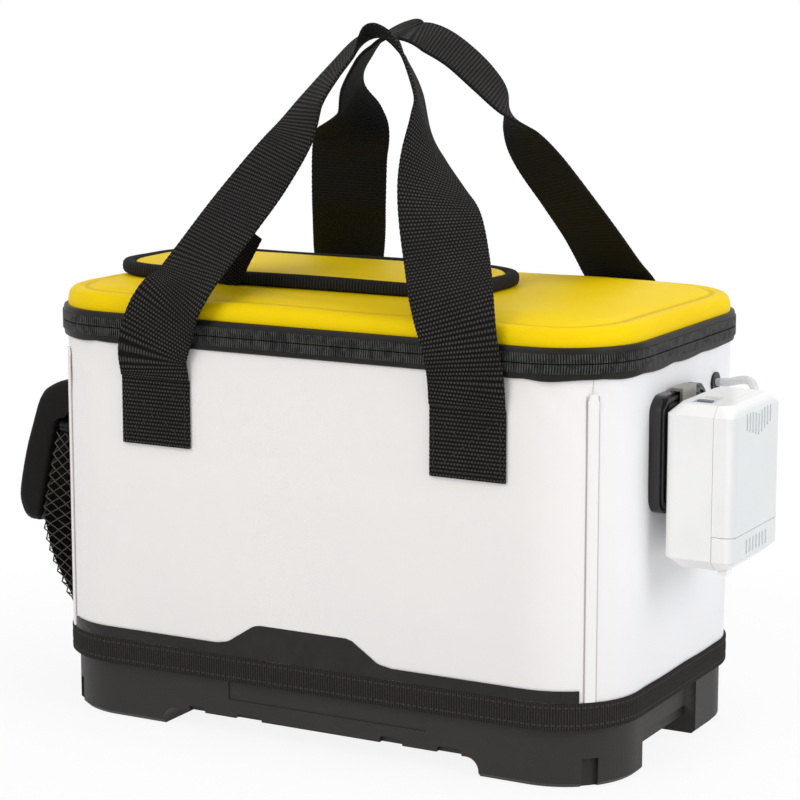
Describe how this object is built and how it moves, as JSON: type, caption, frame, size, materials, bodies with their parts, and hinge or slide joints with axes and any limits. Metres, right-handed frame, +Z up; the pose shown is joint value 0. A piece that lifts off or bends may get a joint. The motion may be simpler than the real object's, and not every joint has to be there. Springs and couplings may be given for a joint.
{
  "type": "aerated bait bucket",
  "caption": "Soft-sided insulated bait station with a hinged padded lid, quick-access hatch, webbing handles, side pocket and clip-on aerator.",
  "frame": {"origin": "on the ground, under the middle of the rounded box body and its two side fittings", "axes": "+X along the long front towards the aerator, +Y to the back (the lid's hinge side), +Z up"},
  "size_m": [0.483, 0.243, 0.4238],
  "materials": {
    "tray_polymer": "fine moulded texture",
    "insulation_foam": "closed-cell foam",
    "liner_film": "smooth welded film",
    "white_tarpaulin": "soft coated cloth",
    "binding_webbing": "cross-ribbed tape",
    "kick_film": "smooth satin film",
    "zip_band": "coated zip tape",
    "zip_coil": "nylon coil",
    "strap_webbing": "ribbed webbing",
    "yellow_cover": "smooth coated cloth",
    "black_moulding": "satin moulding",
    "plain_steel": "plain",
    "magnet": "nickel plated",
    "pull_webbing": "woven",
    "pocket_mesh": "open knitted mesh",
    "flap_cloth": "smooth padded cloth",
    "white_shell": "gloss",
    "switch_grey": "satin",
    "cell_jacket": "satin",
    "clear_tube": "translucent",
    "stone": "sintered, rough"
  },
  "bodies": {
    "body": {"base_tray": "tray_polymer", "base_insulation": "insulation_foam", "wall_insulation": "insulation_foam", "inner_liner": "liner_film", "outer_shell": "white_tarpaulin", "corner_welts": "white_tarpaulin", "binding_tape": "binding_webbing", "kick_band": "kick_film", "lower_zip_tape": "zip_band", "lower_zip_teeth": "zip_coil", "lid_hinge_strip": "zip_band", "front_strap_anchors": "strap_webbing", "rear_strap_anchors": "strap_webbing", "pocket_net": "pocket_mesh", "pocket_hem": "pocket_mesh", "bracket_frame": "black_moulding", "bracket_screws": "plain_steel", "tube_grommet": "black_moulding", "air_tube_outer": "clear_tube", "air_tube_inner": "clear_tube", "air_stone": "stone"},
    "lid": {"lid_cover": "yellow_cover", "lid_insulation": "insulation_foam", "lid_liner": "liner_film", "upper_zip_tape": "zip_band", "upper_zip_teeth": "zip_coil", "hatch_rim": "black_moulding", "catch_plates": "plain_steel", "hatch_hinge_strip": "zip_band"},
    "hatch": {"hatch_panel": "yellow_cover", "hatch_binding": "binding_webbing", "hatch_underside": "black_moulding", "hatch_magnets": "magnet", "hatch_pull_tab": "strap_webbing"},
    "front_handle": {"front_handle": "strap_webbing"},
    "rear_handle": {"rear_handle": "strap_webbing"},
    "pocket_flap": {"pocket_flap": "flap_cloth"},
    "zip_slider": {"zip_slider": "plain_steel"},
    "zip_pull": {"zip_pull": "pull_webbing"},
    "aerator": {"aerator_back_shell": "white_shell", "aerator_front_shell": "white_shell", "aerator_clip": "plain_steel", "clip_screws": "plain_steel", "battery_cells": "cell_jacket", "contact_springs": "plain_steel", "contact_plate": "plain_steel", "air_pump": "black_moulding", "pump_motor": "plain_steel", "air_outlet": "black_moulding"},
    "battery_door": {"battery_door": "white_shell"},
    "power_switch": {"power_switch": "switch_grey"},
    "motor_crank": {"motor_crank": "plain_steel"}
  },
  "joints": [
    {"name": "lid_hinge", "type": "hinge", "parent": "body", "child": "lid", "pos_m": [0, 0.114, 0.243], "axis": [-1, 0, 0], "range_deg": [0, 100], "deforming": ["lid_hinge_strip"]},
    {"name": "front_handle_swing", "type": "hinge", "parent": "body", "child": "front_handle", "pos_m": [0, -0.117, 0.216], "axis": [1, 0, 0], "range_deg": [0, 180]},
    {"name": "rear_handle_swing", "type": "hinge", "parent": "body", "child": "rear_handle", "pos_m": [0, 0.117, 0.216], "axis": [-1, 0, 0], "range_deg": [0, 180]},
    {"name": "hatch_hinge", "type": "hinge", "parent": "lid", "child": "hatch", "pos_m": [-0.051, 0.047, 0.2663], "axis": [-1, 0, 0], "range_deg": [0, 60], "deforming": ["hatch_hinge_strip"]},
    {"name": "pocket_flap_hinge", "type": "hinge", "parent": "body", "child": "pocket_flap", "pos_m": [-0.1905, 0, 0.1992], "axis": [0, 1, 0], "range_deg": [0, 70]},
    {"name": "zip_slide", "type": "slide", "parent": "body", "child": "zip_slider", "axis": [0, -1, 0], "range_m": [0, 0.11]},
    {"name": "zip_pull_swing", "type": "hinge", "parent": "zip_slider", "child": "zip_pull", "pos_m": [-0.1976, 0.062, 0.244], "axis": [0, 1, 0], "range_deg": [0, 120]},
    {"name": "aerator_lift", "type": "slide", "parent": "body", "child": "aerator", "axis": [0, 0, 1], "range_m": [0, 0.045], "deforming": ["air_tube_outer"]},
    {"name": "battery_door_slide", "type": "slide", "parent": "aerator", "child": "battery_door", "axis": [0, 0, -1], "range_m": [0, 0.028]},
    {"name": "power_switch_slide", "type": "slide", "parent": "aerator", "child": "power_switch", "axis": [0, 1, 0], "range_m": [0, 0.006]},
    {"name": "motor_spin", "type": "hinge", "parent": "aerator", "child": "motor_crank", "pos_m": [0.231, -0.023, 0.1994], "axis": [0, 1, 0], "continuous": true}
  ],
  "couplings": [
    {"joint": "front_handle_swing", "follows": "lid_hinge", "ratio": 1.8},
    {"joint": "rear_handle_swing", "follows": "lid_hinge", "ratio": 1.8}
  ]
}
